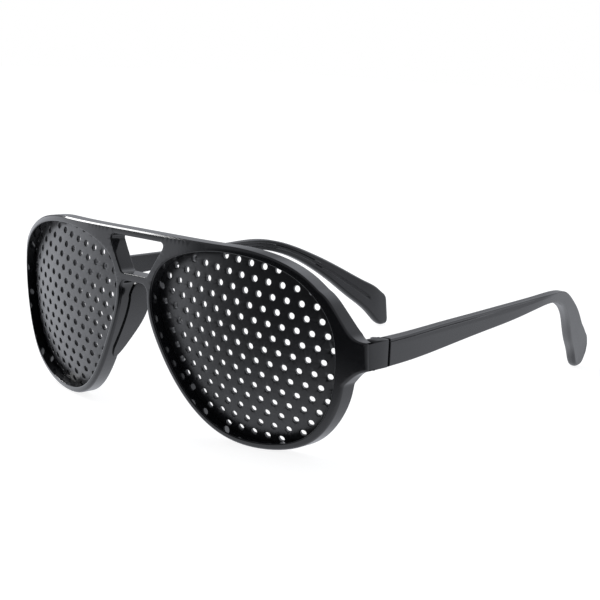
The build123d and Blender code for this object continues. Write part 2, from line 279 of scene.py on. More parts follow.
def into_material(loop, is_outer):
    """Unit vectors square to the loop, pointing into the plastic."""
    tangent = np.roll(loop, -1, axis=0) - np.roll(loop, 1, axis=0)
    tangent /= np.linalg.norm(tangent, axis=1)[:, None]
    x, z = loop[:, 0], loop[:, 1]
    turning = np.sign((x * np.roll(z, -1) - np.roll(x, -1) * z).sum())
    inward = turning * np.stack([-tangent[:, 1], tangent[:, 0]], axis=1)
    return inward if is_outer else -inward


front_loops = [even_loop(loop, OUTLINE_STEP, CORNER_SOFTENING)
               for loop in chain(*face_edges("front_frame", 0))]
print("front outlines, mm:", [round(loop_length(loop), 1) for loop in front_loops])

# %% [markdown]
# Each outline becomes a wall with a rounded edge at the front and at the back.  A row of
# the wall lies at an inward distance and a depth that follow a quarter circle.  The brow
# has a flatter edge than the rims: it is the bright line that runs along it.  Beside the
# end pieces the outline lies a hair further in, where the end arms cover it.

# %% Walls and rounded edges
RIM_EDGE = 0.7
BROW_BEVEL = 0.42
BACK_EDGE = 0.9
LENS_BACK_EDGE = 0.3
LEAST_EDGE = 0.01
EDGE_LIMIT_SHARE = 0.45
# A bevel's straight line takes up the middle of the quarter turn.
BEVEL_STRETCH = 1.3
BEVEL_START = 0.15
EDGE_ROWS = 7
WALL_ROWS = 4
# Heights between which the brow's edge takes over from the rims'.
BROW_HEIGHTS = (50.0, 55.0)
# Distances from the side between which the arms' cover begins and the back edge fades.
ARM_COVER = 0.04
COVER_FADE = (6.0, 4.5)
BACK_EDGE_FADE = (9.0, 0.5)


def edge_rows(loop, inward, front_edge, back_edge, bevel=0.0):
    """Rows from the front face over the wall to the back face.

    With the angle going from 0 to 90 degrees, the front rows lie edge * (1 - sin) inside
    the outline and edge * (1 - cos) deep, which a bevel moves towards the straight line
    between the ends.  The back rows mirror them.
    """
    thick = local_depth(loop)
    front_edge = np.minimum(front_edge, EDGE_LIMIT_SHARE * thick)
    back_edge = np.minimum(back_edge, EDGE_LIMIT_SHARE * thick)
    angle = np.linspace(0, math.pi / 2, EDGE_ROWS)[:, None]
    straight = 1 - np.clip(angle * 2 / math.pi * BEVEL_STRETCH - BEVEL_START, 0, 1)
    inside = [front_edge * ((1 - bevel) * (1 - np.sin(angle)) + bevel * straight)]
    depth = [front_edge * ((1 - bevel) * (1 - np.cos(angle)) + bevel * (1 - straight))]
    middle = np.linspace(0, 1, WALL_ROWS)[1:-1, None]
    inside.append(0 * middle * front_edge)
    depth.append(front_edge + middle * (thick - back_edge - front_edge))
    inside.append(back_edge * (1 - np.cos(angle)))
    depth.append(thick - back_edge * (1 - np.sin(angle)))
    inside = np.concatenate([part + 0 * loop[None, :, 0] for part in inside])
    depth = np.concatenate([part + 0 * loop[None, :, 0] for part in depth])
    flat = loop[None] + inward[None] * inside[..., None]
    return on_curve(flat, depth), flat[0], flat[-1]


def inside_loops(points, loops):
    """True for points inside an odd number of loops: a ray to the right crosses each."""
    odd = np.zeros(len(points), bool)
    for loop in loops:
        ahead = np.roll(loop, -1, axis=0)
        x, z = points[:, :1], points[:, 1:]
        straddles = (loop[None, :, 1] > z) != (ahead[None, :, 1] > z)
        rise = np.where(ahead[:, 1] == loop[:, 1], 1, ahead[:, 1] - loop[:, 1])
        cross = loop[:, 0] + (z - loop[:, 1]) * (ahead[:, 0] - loop[:, 0]) / rise
        odd ^= (straddles & (x < cross)).sum(axis=1) % 2 == 1
    return odd


FILL_STEP = 1.6
FILL_CLEARANCE_SHARE = 0.45
FILL_TOLERANCE = 1e-6


def fill(loops):
    """Triangles between the loops, with an even grid of points inside them."""
    low, high = np.concatenate(loops).min(axis=0), np.concatenate(loops).max(axis=0)
    ticks = [np.arange(low[k], high[k], FILL_STEP) for k in range(2)]
    grid = np.stack(np.meshgrid(*ticks), axis=-1).reshape(-1, 2)
    grid = grid[inside_loops(grid, loops)]
    edge_points = np.concatenate(loops)
    nearest = np.sqrt(((grid[:, None] - edge_points[None, ::2])**2).sum(axis=-1)).min(axis=1)
    grid = grid[nearest > FILL_CLEARANCE_SHARE * FILL_STEP]
    points = np.concatenate([edge_points, grid])
    edges, start = [], 0
    for loop in loops:
        index = start + np.arange(len(loop))
        edges += np.stack([index, np.roll(index, -1)], axis=1).tolist()
        start += len(loop)
    corners = [Vector(point) for point in points.tolist()]
    flat, _, faces, *_ = delaunay_2d_cdt(corners, edges, [], 0, FILL_TOLERANCE)
    flat = np.array([tuple(point) for point in flat])
    faces = np.array([face for face in faces if len(face) == 3])
    return flat, faces[inside_loops(flat[faces].mean(axis=1), loops)]


def make_front():
    """Walls of all outlines, closed by a front face and a back face."""
    points, faces, fronts, backs, start = [], [], [], [], 0
    for k, loop in enumerate(front_loops):
        is_outer = k == 0
        inward = into_material(loop, is_outer)
        if is_outer:
            brow = smoothstep(*BROW_HEIGHTS, loop[:, 1])
            from_side = side_x - np.abs(loop[:, 0])
            loop = loop + inward * (ARM_COVER * smoothstep(*COVER_FADE, from_side))[:, None]
            from_side = side_x - np.abs(loop[:, 0])
            front_edge = RIM_EDGE + (BROW_BEVEL - RIM_EDGE) * brow
            back_edge = BACK_EDGE * (1 - smoothstep(*BACK_EDGE_FADE, from_side)) + LEAST_EDGE
            rows, front_line, back_line = edge_rows(loop, inward, front_edge, back_edge, brow)
        else:
            loop = loop - inward * LIP
            rows, front_line, back_line = edge_rows(loop, inward, LIP, LENS_BACK_EDGE)
        points.append(rows.reshape(-1, 3))
        faces += (grid_faces(len(rows), len(loop)) + start).tolist()
        start += len(points[-1])
        fronts.append(front_line)
        backs.append(back_line)
    for lines, is_back in ((fronts, False), (backs, True)):
        flat, triangles = fill(lines)
        points.append(on_curve(flat, local_depth(flat) if is_back else 0.0))
        faces += (triangles + start).tolist()
        start += len(points[-1])
    return make_piece("front_moulding", np.concatenate(points), faces)


front = even_normals(make_front())
print("front moulding", len(front.data.polygons), "faces")

# %% [markdown]
# ## Drilled plates
#
# Each rim holds a plate of the same curve, drilled with a regular triangular pattern of
# holes.  The places of the holes are read from the construction model: each open edge of
# a plate's front face that is a small loop is a hole, and its middle is the hole's middle.
# Moulded holes have softly rounded mouths, which catch a bright crescent of light, so each
# hole is drawn again as rings of points that roll from the face into the bore.

# %% Plates with rounded pinholes
PLATE_RECESS = 3.6
PLATE_THICKNESS = 1.2
HOLE_RADIUS = 0.9
MOUTH_EDGE = 0.22
BACK_MOUTH_EDGE = 0.12
MOUTH_ROWS = 4
RING_POINTS = 28
PLATE_INSET = 0.02
PLATE_SOFTENING = 0.05
ROUND_TOLERANCE = 0.25


def hole_rings(middles, side):
    """Rings of all holes from the front face through the bore to the back face.

    A ring is middle + radius * (cos(a) * across + sin(a) * up) - depth * normal.  The mouths
    follow a quarter circle, and their outer rings are laid on the faces themselves.
    """
    back_depth = PLATE_RECESS + PLATE_THICKNESS
    centre = np.array([side * FLAT_HALF_WIDTH, curve_y + PLATE_RECESS, curve_z])
    place = on_curve(middles, PLATE_RECESS)
    normal = place - centre
    normal /= np.linalg.norm(normal, axis=1)[:, None]
    across = np.cross(normal, [0.0, 0.0, 1.0])
    across /= np.linalg.norm(across, axis=1)[:, None]
    up = np.cross(across, normal)
    through = PLATE_THICKNESS * np.abs(normal[:, 1])
    roll = np.linspace(0, math.pi / 2, MOUTH_ROWS)[:, None]
    radii = HOLE_RADIUS + np.concatenate([MOUTH_EDGE * (1 - np.sin(roll)),
                                          BACK_MOUTH_EDGE * (1 - np.cos(roll))])
    depths = np.concatenate([MOUTH_EDGE * (1 - np.cos(roll)) + 0 * through,
                             through - BACK_MOUTH_EDGE * (1 - np.sin(roll))])
    angle = np.arange(RING_POINTS) * 2 * math.pi / RING_POINTS
    out = np.cos(angle)[:, None] * across[:, None] + np.sin(angle)[:, None] * up[:, None]
    rings = (place[:, None, None] + radii[None, :, :, None] * out[:, None]
             - depths.T[:, :, None, None] * normal[:, None, None])
    for row, depth in ((0, PLATE_RECESS), (-1, back_depth)):
        rings[:, row] = on_curve(rings[:, row][..., [0, 2]], depth)
    return rings


def make_plate(name, side):
    """Front face, back face, outer wall and all bores of one plate."""
    node_name = "pinhole_plate_" + name
    outline, *small = chain(*face_edges(node_name, PLATE_RECESS))
    outline = even_loop(outline, OUTLINE_STEP, PLATE_SOFTENING)
    outline = outline + PLATE_INSET * into_material(outline, True)
    way_round = 2 * math.pi * HOLE_RADIUS
    round_holes = [loop for loop in small if abs(loop_length(loop) / way_round - 1) < ROUND_TOLERANCE]
    middles = np.array([(loop.min(axis=0) + loop.max(axis=0)) / 2 for loop in round_holes])
    rings = hole_rings(middles, side)
    points = [rings.reshape(-1, 3)]
    ring_rows = rings.shape[1]
    first_points = np.arange(len(rings)) * ring_rows * RING_POINTS
    bores = grid_faces(ring_rows, RING_POINTS)[None] + first_points[:, None, None]
    faces = bores.reshape(-1, 4).tolist()
    start = len(points[-1])
    depths = (PLATE_RECESS, PLATE_RECESS + PLATE_THICKNESS)
    walls = np.stack([on_curve(outline, depth) for depth in depths])
    points.append(walls.reshape(-1, 3))
    faces += (grid_faces(2, len(outline)) + start).tolist()
    start += len(points[-1])
    for row, depth in zip((0, -1), depths):
        flat, triangles = fill([outline, *rings[:, row][:, :, [0, 2]]])
        points.append(on_curve(flat, depth))
        faces += (triangles + start).tolist()
        start += len(points[-1])
    plate = make_piece("drilled_plate_" + name, np.concatenate(points), faces)
    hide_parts(node_name)
    print(node_name, len(middles), "holes,", len(small) - len(middles), "other loops")
    return even_normals(plate)


plates = {name: make_plate(name, side) for name, side in (("left", 1), ("right", -1))}

# %% [markdown]
# The end piece behind each turn is a short arm with the hinge on its inner side.  It is a
# rounded rectangle carried from just behind the front face to the seam where the temple
# starts, and its last edge is rounded.

# %% End arms
ARM_EDGE = 0.45
ARM_START_DEPTH = 0.6
ARM_END_EDGE = 0.25
ARM_END_MIDDLE = 0.08
CORNER_POINTS = 6


def rounded_rectangle(half_width, half_height, edge):
    """A rectangle with quarter circles for corners, anticlockwise."""
    angle = np.linspace(0, math.pi / 2, CORNER_POINTS)
    corners = []
    for turn, (to_x, to_z) in enumerate(((1, 1), (-1, 1), (-1, -1), (1, -1))):
        a = angle + turn * math.pi / 2
        corners.append(np.stack([to_x * (half_width - edge) + edge * np.cos(a),
                                 to_z * (half_height - edge) + edge * np.sin(a)], axis=1))
    return np.concatenate(corners)


def close_rows(rows):
    """Faces of a tube of rows with a cap at each end."""
    count = rows.shape[1]
    last = (rows.shape[0] - 1) * count
    faces = grid_faces(rows.shape[0], count).tolist()
    faces.append(list(range(count))[::-1])
    faces.append(list(range(last, last + count)))
    return faces


def arm_rows(side):
    """Rows of one arm: x and z follow its section, and y starts behind the bent front face."""
    half_width = END_THICKNESS / 2
    half_height = (END_TOP - END_BOTTOM) / 2
    section = rounded_rectangle(half_width, half_height, ARM_EDGE)
    shrunk = rounded_rectangle(half_width - ARM_END_EDGE, half_height - ARM_END_EDGE, ARM_EDGE)
    places = [(0.0, section), (SEAM_Y - ARM_END_EDGE, section),
              (SEAM_Y - ARM_END_MIDDLE, (section + shrunk) / 2), (SEAM_Y, shrunk)]
    rows = []
    for y, outline in places:
        x = side * (side_x - END_THICKNESS / 2 + outline[:, 0])
        z = (END_TOP + END_BOTTOM) / 2 + table_shift + outline[:, 1]
        start = front_surface(x, z, ARM_START_DEPTH)
        rows.append(np.stack([x, np.maximum(start, front_y + y), z], axis=1))
    return np.stack(rows)


arms = {}
for name, side in (("left", 1), ("right", -1)):
    rows = arm_rows(side)
    arms[name] = even_normals(make_piece("end_arm_" + name, rows, close_rows(rows)))
print("end arms reach the seam at y =", round(seam_y, 2))

# %% [markdown]
# ## Temples
#
# A temple is a flat bar that drops behind the ear.  Below its upper edge the outer face
# slopes in a narrow band, with a fine groove near the hinge, and both fade out before the
# bar bends down.  The inner face has a slit near the ear.  The bar is a grid: one direction
# runs along it through smooth curves of its height, lean and thickness, and the other goes
# round its section.

# %% Temple shape
TEMPLE_LENGTH = 147.1
TEMPLE_HEIGHT = 36.0
TEMPLE_INSET = 26.0
TEMPLE_THICKNESS = 3.4
SEAM_GAP = 0.1
# Place along, top, bottom, top inset, bottom inset, thickness: shares of those sizes.
TEMPLE_STATION_SHARES = np.array([
    (0.000, 0.9375, 0.725, 0.000, 0.000, 1.00), (0.060, 0.940, 0.733, 0.008, 0.008, 1.00),
    (0.175, 0.953, 0.764, 0.038, 0.038, 1.00), (0.305, 0.965, 0.806, 0.077, 0.077, 0.97),
    (0.441, 0.979, 0.847, 0.115, 0.119, 0.95), (0.536, 0.989, 0.886, 0.142, 0.158, 0.95),
    (0.604, 0.997, 0.900, 0.165, 0.208, 0.97), (0.658, 0.983, 0.867, 0.215, 0.292, 1.00),
    (0.712, 0.928, 0.794, 0.312, 0.388, 1.03), (0.767, 0.840, 0.669, 0.423, 0.504, 1.07),
    (0.821, 0.736, 0.508, 0.535, 0.642, 1.10), (0.876, 0.614, 0.322, 0.662, 0.777, 1.10),
    (0.930, 0.493, 0.139, 0.796, 0.896, 1.06), (0.964, 0.417, 0.010, 0.869, 0.957, 1.00),
    (0.983, 0.358, 0.005, 0.900, 0.970, 0.92), (0.995, 0.300, 0.052, 0.922, 0.966, 0.74),
    (1.000, 0.240, 0.125, 0.935, 0.952, 0.50),
])
ALONG_STEPS = 220
END_DENSITY = 1.35


def smooth_curve(knots, values, places):
    """Natural cubic spline: the second slopes solve a three-diagonal set of equations."""
    gap = np.diff(knots)
    system = np.zeros((len(knots), len(knots)))
    system[0, 0] = system[-1, -1] = 1
    rows = np.arange(1, len(knots) - 1)
    system[rows, rows - 1] = gap[:-1]
    system[rows, rows] = 2 * (gap[:-1] + gap[1:])
    system[rows, rows + 1] = gap[1:]
    slope = np.diff(values, axis=0) / gap[:, None]
    right = np.zeros_like(values)
    right[1:-1] = 6 * (slope[1:] - slope[:-1])
    bend = np.linalg.solve(system, right)
    k = np.clip(np.searchsorted(knots, places, side="right") - 1, 0, len(knots) - 2)
    a = (knots[k + 1] - places)[:, None]
    b = (places - knots[k])[:, None]
    h = gap[k][:, None]
    cubic = (bend[k] * a**3 + bend[k + 1] * b**3) / (6 * h)
    return cubic + (values[k] / h - bend[k] * h / 6) * a + (values[k + 1] / h - bend[k + 1] * h / 6) * b


# The edges' radius on the bar, on the ear and at most, and where along the bar it grows.
BAR_EDGE = 0.45
EAR_EDGE_GAIN = 0.95
EDGE_LIMIT_DIVISOR = 2.2
EAR_EDGE_FADE = (0.60, 0.80)
ARC_POINTS = 7
# How far below the top the sloping band ends, at places along the bar.
BAND_PLACES = np.array([0.0, 0.2, 0.42, 0.53, 0.60, 0.66, 1.0])
BAND_FEET = np.array([1.80, 1.95, 1.90, 1.65, 1.35, 1.2, 1.2])
BAND_SMOOTHING = 0.03
BAND_SLOPE_SHARE = 0.38
BAND_START = (-0.05, 0.16)
BAND_END = (0.50, 0.63)
# Below this height between the edges, all that lies under the upper edge is squeezed.
FULL_HEIGHT = 4.0
GROOVE_PLACE = 0.84
GROOVE_WIDTH = 0.12
GROOVE_DEPTH = 0.26
GROOVE_END = (0.22, 0.45)
# Rows round the groove and round the band's foot, in millimetres from each.
GROOVE_ROWS = (-0.3, -0.22, -0.16, -0.11, -0.07, -0.035, 0, 0.035, 0.07, 0.11, 0.16, 0.22, 0.28)
FOOT_ROWS = (-0.04, 0.0, 0.04, 0.3)
OUTER_FACE_SHARES = (0.2, 0.4, 0.6, 0.8)
# The slit in the inner face: places along the bar, depth, and rows in half heights with
# the share of the depth that each has.
SLIT_START = (0.66, 0.70)
SLIT_END = (0.925, 0.935)
SLIT_DEPTH = 0.35
SLIT_HALF_HEIGHT = 0.5
SLIT_FULL_HEIGHT = 3.0
SLIT_ROWS = ((-1.3, 0), (-1.0, 0.5), (-0.7, 1), (0.7, 1), (1.0, 0.5), (1.3, 0))
BELOW_SLIT_SHARES = (0.8, 0.65)
ABOVE_SLIT_SHARES = (0.35, 0.2)


def temple_rows():
    """Rows of the left temple's surface, from the seam to the ear's end.

    A row starts at the top's outer edge and goes down the outer face and up the inner one.
    Each of its points is given by how far it lies below the top and how far inside the
    outer face.
    """
    along = 1 - np.linspace(1, 0, ALONG_STEPS)**END_DENSITY
    knots = TEMPLE_STATION_SHARES[:, 0]
    top, bottom, top_in, bottom_in, thick = smooth_curve(knots, TEMPLE_STATION_SHARES[:, 1:], along).T
    top, bottom = top * TEMPLE_HEIGHT, bottom * TEMPLE_HEIGHT
    height = top - bottom
    thick = thick * TEMPLE_THICKNESS
    edge = BAR_EDGE + EAR_EDGE_GAIN * smoothstep(*EAR_EDGE_FADE, along)
    edge = np.minimum(edge, np.minimum(thick, height) / EDGE_LIMIT_DIVISOR)
    flat_height = height - 2 * edge
    foot = np.interp(along, BAND_PLACES, BAND_FEET)
    weight = np.exp(-((along[:, None] - along[None]) / BAND_SMOOTHING)**2)
    foot = (weight * foot).sum(axis=1) / weight.sum(axis=1)
    sloping = smoothstep(*BAND_START, along) * (1 - smoothstep(*BAND_END, along))
    slope = BAND_SLOPE_SHARE * foot * sloping
    groove_strength = 1 - smoothstep(*GROOVE_END, along)
    arc = np.linspace(0, math.pi / 2, ARC_POINTS)
    down, inward = [], []
    for a in arc[::-1]:
        down.append(edge * (1 - np.sin(a)))
        inward.append(slope + edge * (1 - np.cos(a)))
    for below in [GROOVE_PLACE + row for row in GROOVE_ROWS] + [foot + row for row in FOOT_ROWS]:
        groove = GROOVE_DEPTH * np.exp(-((below - GROOVE_PLACE) / GROOVE_WIDTH)**2)
        down.append(edge + (below - BAR_EDGE) * np.minimum(1, flat_height / FULL_HEIGHT))
        inward.append(slope * np.maximum(0, 1 - below / foot) + groove_strength * groove)
    last = down[-1]
    for share in OUTER_FACE_SHARES:
        down.append(last + share * (height - edge - last))
        inward.append(0 * edge)
    for a in arc:
        down.append(height - edge * (1 - np.sin(a)))
        inward.append(edge * (1 - np.cos(a)))
    for a in arc[::-1]:
        down.append(height - edge * (1 - np.sin(a)))
        inward.append(thick - edge * (1 - np.cos(a)))
    slit = SLIT_DEPTH * smoothstep(*SLIT_START, along) * (1 - smoothstep(*SLIT_END, along))
    for share in BELOW_SLIT_SHARES:
        down.append(edge + share * flat_height)
        inward.append(thick)
    for across, depth_share in SLIT_ROWS:
        squeeze = np.minimum(1, flat_height / SLIT_FULL_HEIGHT)
        down.append(edge + flat_height / 2 - across * SLIT_HALF_HEIGHT * squeeze)
        inward.append(thick - slit * depth_share)
    for share in ABOVE_SLIT_SHARES:
        down.append(edge + share * flat_height)
        inward.append(thick)
    for a in arc:
        down.append(edge * (1 - np.sin(a)))
        inward.append(thick - edge * (1 - np.cos(a)))
    down, inward = np.stack(down, axis=1), np.stack(inward, axis=1)
    share = down / height[:, None]
    outer_x = side_x - TEMPLE_INSET * (top_in[:, None] + (bottom_in - top_in)[:, None] * share)
    y = seam_y + SEAM_GAP + along * TEMPLE_LENGTH
    z = np.maximum(top[:, None] - down + table_shift, 0)
    return np.stack([outer_x - inward, np.broadcast_to(y[:, None], down.shape), z], axis=-1)


def make_temple(name, side):
    """One temple; the right one is the left one's mirror image."""
    rows = temple_rows() * np.array([side, 1, 1])
    temple = make_piece("temple_moulding_" + name, rows, close_rows(rows))
    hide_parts("temple_" + name)
    return even_normals(temple)


temples = {name: make_temple(name, side) for name, side in (("left", 1), ("right", -1))}
print("temple faces", len(temples["left"].data.polygons))

# %% [markdown]
# ## Nose pads
#
# The pads have the construction model's shape, with the sharp edges of a cut solid.  A
# moulded pad is soft to the skin, so each gets a copy with its doubled points merged and
# its edges rounded by a Bevel modifier.

# %% Rounded nose pads
PAD_ROUNDING = 0.14
PAD_EDGE_SEGMENTS = 4
SHARP_DEGREES = 35.0
FLAT_DEGREES = 1.0
SAME_PAD_PLACE = 1e-6


def make_pad(name):
    """A copy of the construction model's pad with rounded edges."""
    node = nodes["nose_pad_" + name]
    work = bmesh.new()
    work.from_mesh(node.data)
    bmesh.ops.remove_doubles(work, verts=work.verts, dist=SAME_PAD_PLACE)
    bmesh.ops.dissolve_limit(work, angle_limit=math.radians(FLAT_DEGREES), verts=work.verts,
                             edges=work.edges)
    mesh = bpy.data.meshes.new("nose_pad_moulding_" + name)
    work.to_mesh(mesh)
    work.free()
    mesh.polygons.foreach_set("use_smooth", np.ones(len(mesh.polygons), bool))
    pad = bpy.data.objects.new("nose_pad_moulding_" + name, mesh)
    bpy.context.scene.collection.objects.link(pad)
    bevel = pad.modifiers.new("rounded edges", "BEVEL")
    bevel.width = PAD_ROUNDING * MM
    bevel.segments = PAD_EDGE_SEGMENTS
    bevel.limit_method = "ANGLE"
    bevel.angle_limit = math.radians(SHARP_DEGREES)
    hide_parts("nose_pad_" + name)
    return even_normals(pad)


pads = {name: make_pad(name) for name in ("left", "right")}
print("pad faces before rounding", len(pads["left"].data.polygons))

# %% [markdown]
# ## Finishes
#
# Everything is black injection-moulded plastic, but not equally glossy: the frame and the
# temples come from a polished mould, and the plates have a very fine texture.  One shader
# group makes the faint waviness, the dust and the polish that changes over a surface.

# %% Shared surface group
# Scale per metre and detail in octaves of each noise.
PATCHES = (90.0, 3.0)
WAVE = (45.0, 1.0)
SPECKS = (1500.0, 4.0)
GRAIN_DETAIL = 2.0
SPECK_RANGE = (0.60, 0.72)


def new_group(name, inputs, outputs):
    """An empty shader group with named sockets."""
    group = bpy.data.node_groups.new(name, "ShaderNodeTree")
    for label, kind, default in inputs:
        socket = group.interface.new_socket(label, in_out="INPUT", socket_type=kind)
        socket.default_value = default
    for label, kind in outputs:
        group.interface.new_socket(label, in_out="OUTPUT", socket_type=kind)
    return group, group.nodes.new("NodeGroupInput"), group.nodes.new("NodeGroupOutput")


def noise(group, coordinates, scale, detail):
    """Noise whose scale is a number or a socket."""
    node = group.nodes.new("ShaderNodeTexNoise")
    node.inputs["Detail"].default_value = detail
    group.links.new(coordinates, node.inputs["Vector"])
    if isinstance(scale, (int, float)):
        node.inputs["Scale"].default_value = scale
    else:
        group.links.new(scale, node.inputs["Scale"])
    return node.outputs["Fac"]


def spread(group, value, low, high):
    """A 0 to 1 value moved to lie between two others."""
    node = group.nodes.new("ShaderNodeMapRange")
    group.links.new(value, node.inputs["Value"])
    for label, end in (("To Min", low), ("To Max", high)):
        if isinstance(end, (int, float)):
            node.inputs[label].default_value = end
        else:
            group.links.new(end, node.inputs[label])
    return node.outputs["Result"]


def make_moulded_group():
    """Moulded plastic: polish in soft patches, a fine grain and a slow waviness."""
    colour, number = "NodeSocketColor", "NodeSocketFloat"
    inputs = [("Colour", colour, (0.01, 0.01, 0.01, 1)), ("Dust Colour", colour, (0.1, 0.1, 0.1, 1)),
              ("Dust", number, 0.1), ("Roughness Low", number, 0.1), ("Roughness High", number, 0.2),
              ("Grain Scale", number, 4000.0), ("Grain Height", number, 0.1),
              ("Wave Height", number, 0.1)]
    outputs = [("Colour", colour), ("Roughness", number), ("Height", number)]
    group, given, result = new_group("moulded plastic", inputs, outputs)
    place = group.nodes.new("ShaderNodeTexCoord").outputs["Object"]
    patches = noise(group, place, *PATCHES)
    wave = noise(group, place, *WAVE)
    grain = noise(group, place, given.outputs["Grain Scale"], GRAIN_DETAIL)
    specks = noise(group, place, *SPECKS)
    rough = spread(group, patches, given.outputs["Roughness Low"], given.outputs["Roughness High"])
    group.links.new(rough, result.inputs["Roughness"])
    ramp = group.nodes.new("ShaderNodeValToRGB")
    for element, position in zip(ramp.color_ramp.elements, SPECK_RANGE):
        element.position = position
    group.links.new(specks, ramp.inputs["Fac"])
    dusty = group.nodes.new("ShaderNodeMath")
    dusty.operation = "MULTIPLY"
    group.links.new(ramp.outputs["Color"], dusty.inputs[0])
    group.links.new(given.outputs["Dust"], dusty.inputs[1])
    mix = group.nodes.new("ShaderNodeMix")
    mix.data_type = "RGBA"
    group.links.new(dusty.outputs["Value"], mix.inputs["Factor"])
    group.links.new(given.outputs["Colour"], mix.inputs["A"])
    group.links.new(given.outputs["Dust Colour"], mix.inputs["B"])
    group.links.new(mix.outputs["Result"], result.inputs["Colour"])
    parts = []
    for value, height in ((grain, "Grain Height"), (wave, "Wave Height")):
        product = group.nodes.new("ShaderNodeMath")
        product.operation = "MULTIPLY"
        group.links.new(value, product.inputs[0])
        group.links.new(given.outputs[height], product.inputs[1])
        parts.append(product.outputs["Value"])
    total = group.nodes.new("ShaderNodeMath")
    total.operation = "ADD"
    group.links.new(parts[0], total.inputs[0])
    group.links.new(parts[1], total.inputs[1])
    group.links.new(total.outputs["Value"], result.inputs["Height"])
    return group


moulded = make_moulded_group()
print("shared group", moulded.name)

# %% [markdown]
# Each plastic places the group with its own colour, polish and grain.  The shader itself
# stays in the material, with its plain values on its own sockets.  The plates' faces shine
# more than their polish gives, so they have a higher refractive index.

# %% Materials
PLASTIC_BUMP = (0.5, 0.0002)
STEEL_BUMP = (0.3, 0.00003)
STEEL_STRETCH = (1.0, 1.0, 0.08)
STEEL_DETAIL = 3.0
# Roughness is given as low and high, the grain as scale and height, and the dust as its
# share and its grey.
PLASTICS = {
    "frame_black": {"colour": (0.0075, 0.0078, 0.0092), "rough": (0.06, 0.13),
                    "grain": (2600.0, 0.02), "wave": 0.10, "dust": (0.10, 0.05), "ior": 1.5},
    "temple_black": {"colour": (0.0085, 0.0087, 0.0102), "rough": (0.16, 0.28),
                     "grain": (2600.0, 0.03), "wave": 0.10, "dust": (0.12, 0.06), "ior": 1.5},
    "plate_black": {"colour": (0.0080, 0.0083, 0.0098), "rough": (0.28, 0.40),
                    "grain": (3600.0, 0.10), "wave": 0.05, "dust": (0.15, 0.07), "ior": 1.65},
    "pad_black": {"colour": (0.0090, 0.0092, 0.0107), "rough": (0.18, 0.30),
                  "grain": (2600.0, 0.04), "wave": 0.08, "dust": (0.10, 0.06), "ior": 1.5},
}
# The scale is that of the drawn lines.
STEELS = {
    "hinge_steel": {"colour": (0.20, 0.20, 0.21), "rough": (0.30, 0.5), "scale": 6000.0},
    "screw_steel": {"colour": (0.26, 0.26, 0.27), "rough": (0.25, 0.4), "scale": 8000.0},
}


def add_bump(tree, height, shader, strength, distance):
    """Bump from a height, on the shader's normal."""
    bump = tree.nodes.new("ShaderNodeBump")
    bump.inputs["Strength"].default_value = strength
    bump.inputs["Distance"].default_value = distance
    tree.links.new(height, bump.inputs["Height"])
    tree.links.new(bump.outputs["Normal"], shader.inputs["Normal"])


def make_plastic(name, colour, rough, grain, wave, dust, ior):
    """A moulded plastic: the shared group on the shader's colour, roughness and normal."""
    material = bpy.data.materials.new(name)
    material.use_nodes = True
    tree = material.node_tree
    shader = tree.nodes["Principled BSDF"]
    shader.inputs["IOR"].default_value = ior
    surface = tree.nodes.new("ShaderNodeGroup")
    surface.node_tree = moulded
    dust_share, dust_grey = dust
    values = {"Colour": (*colour, 1), "Dust Colour": (dust_grey, dust_grey, dust_grey, 1),
              "Dust": dust_share, "Roughness Low": rough[0], "Roughness High": rough[1],
              "Grain Scale": grain[0], "Grain Height": grain[1], "Wave Height": wave}
    for label, value in values.items():
        surface.inputs[label].default_value = value
    tree.links.new(surface.outputs["Colour"], shader.inputs["Base Color"])
    tree.links.new(surface.outputs["Roughness"], shader.inputs["Roughness"])
    add_bump(tree, surface.outputs["Height"], shader, *PLASTIC_BUMP)
    return material


def make_steel(name, colour, rough, scale):
    """Stamped steel: fine upright lines, as worn polish."""
    material = bpy.data.materials.new(name)
    material.use_nodes = True
    tree = material.node_tree
    shader = tree.nodes["Principled BSDF"]
    shader.inputs["Metallic"].default_value = 1.0
    shader.inputs["Base Color"].default_value = (*colour, 1)
    place = tree.nodes.new("ShaderNodeTexCoord").outputs["Object"]
    stretch = tree.nodes.new("ShaderNodeMapping")
    stretch.inputs["Scale"].default_value = STEEL_STRETCH
    tree.links.new(place, stretch.inputs["Vector"])
    lines = noise(tree, stretch.outputs["Vector"], scale, STEEL_DETAIL)
    tree.links.new(spread(tree, lines, *rough), shader.inputs["Roughness"])
    add_bump(tree, lines, shader, *STEEL_BUMP)
    return material


finishes = {name: make_plastic(name, **values) for name, values in PLASTICS.items()}
finishes.update({name: make_steel(name, **values) for name, values in STEELS.items()})
print("materials", len(bpy.data.materials))

# %% [markdown]
# Now every piece gets its finish, and every new piece rides on the body it belongs to.

# %% Dress the pieces
def dress(piece, material):
    """Give a piece one material."""
    piece.data.materials.clear()
    piece.data.materials.append(material)


NODE_FINISHES = {"front_frame": "frame_black", "pinhole_plate": "plate_black", "nose_pad": "pad_black",
                 "temple": "temple_black", "hinge_front_leaf": "hinge_steel",
                 "hinge_temple_leaf": "hinge_steel", "hinge_screw": "screw_steel"}
for node_name, node in nodes.items():
    kind = node_name if node_name in NODE_FINISHES else node_name.rsplit("_", 1)[0]
    dress(node, finishes[NODE_FINISHES[kind]])

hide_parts("front_frame")
for piece in (front, arms["left"], arms["right"]):
    dress(piece, finishes["frame_black"])
    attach(piece, "front")
for plate in plates.values():
    dress(plate, finishes["plate_black"])
    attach(plate, "front")
for pad in pads.values():
    dress(pad, finishes["pad_black"])
    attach(pad, "front")
for name, temple in temples.items():
    dress(temple, finishes["temple_black"])
    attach(temple, name + "_temple")

